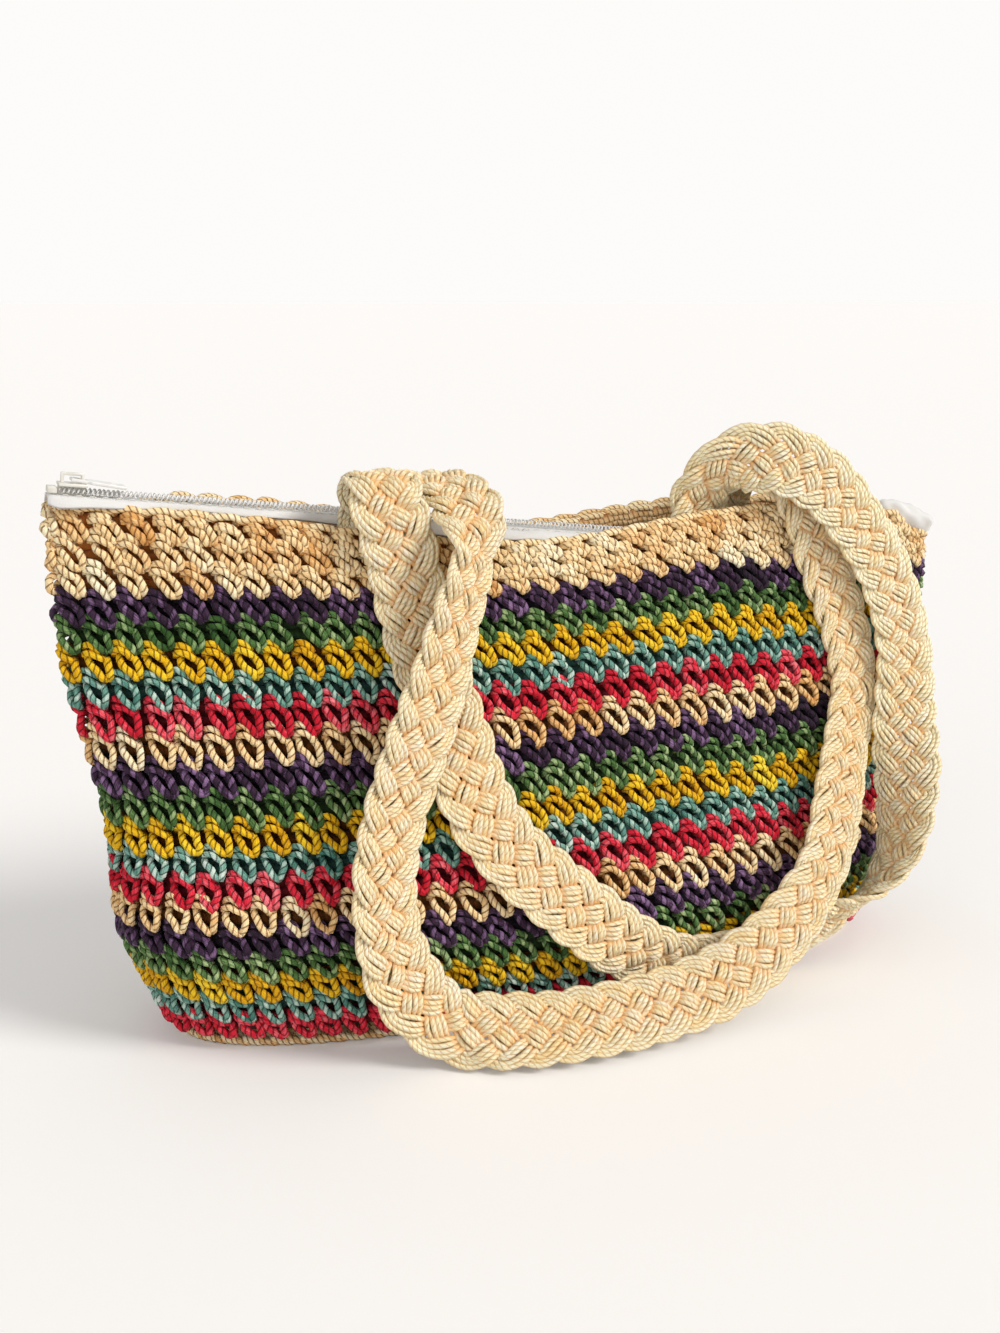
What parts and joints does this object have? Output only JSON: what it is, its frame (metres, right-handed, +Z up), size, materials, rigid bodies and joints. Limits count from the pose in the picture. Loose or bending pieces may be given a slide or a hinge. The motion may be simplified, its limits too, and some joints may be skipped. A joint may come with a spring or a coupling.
{
  "type": "basket bag",
  "caption": "Soft crocheted basket bag of striped twine with a lined body, a zip across the mouth and two flat plaited shoulder straps.",
  "frame": {"origin": "centre of the base, on the surface that the bag stands on", "axes": "+X along the zip to the right as seen from the front, -Y out of the front where the straps lie, +Z up"},
  "size_m": [0.3496, 0.1405, 0.2101],
  "materials": {
    "natural_twine": "twisted plant-fibre twine, slightly glossy",
    "red_twine": "dyed twisted plant-fibre twine",
    "teal_twine": "dyed twisted plant-fibre twine with pale strands",
    "yellow_twine": "dyed twisted plant-fibre twine",
    "green_twine": "dyed twisted plant-fibre twine",
    "purple_twine": "dyed twisted plant-fibre twine, nearly black",
    "white_cotton": "plain woven cotton",
    "zip_coil": "coiled nylon monofilament",
    "white_enamel": "white enamel on die-cast metal"
  },
  "bodies": {
    "bag": {"round_01_red": "red_twine", "round_02_teal": "teal_twine", "round_03_yellow": "yellow_twine", "round_04_green": "green_twine", "round_05_purple": "purple_twine", "round_06_natural": "natural_twine", "round_07_red": "red_twine", "round_08_teal": "teal_twine", "round_09_yellow": "yellow_twine", "round_10_green": "green_twine", "round_11_purple": "purple_twine", "round_12_natural": "natural_twine", "round_13_red": "red_twine", "round_14_teal": "teal_twine", "round_15_yellow": "yellow_twine", "round_16_green": "green_twine", "round_17_purple": "purple_twine", "base": "natural_twine", "rim_band": "natural_twine", "strap_front": "natural_twine", "strap_back": "natural_twine", "lining": "white_cotton", "zip_tape_front": "white_cotton", "zip_tape_back": "white_cotton", "zip_end_tab": "white_cotton", "zip_coil_front": "zip_coil", "zip_coil_back": "zip_coil", "top_stop_front": "white_enamel", "top_stop_back": "white_enamel", "bottom_stop": "white_enamel"},
    "slider": {"zip_slider": "white_enamel"},
    "tab": {"pull_tab": "white_enamel"}
  },
  "joints": [
    {"name": "zip_slide", "type": "slide", "parent": "bag", "child": "slider", "axis": [0.9926, 0, -0.1211], "range_m": [0, 0.2815]},
    {"name": "pull_tab_swing", "type": "hinge", "parent": "slider", "child": "tab", "pos_m": [-0.16453, 0, 0.19806], "axis": [0, -1, 0], "range_deg": [0, 180]}
  ]
}
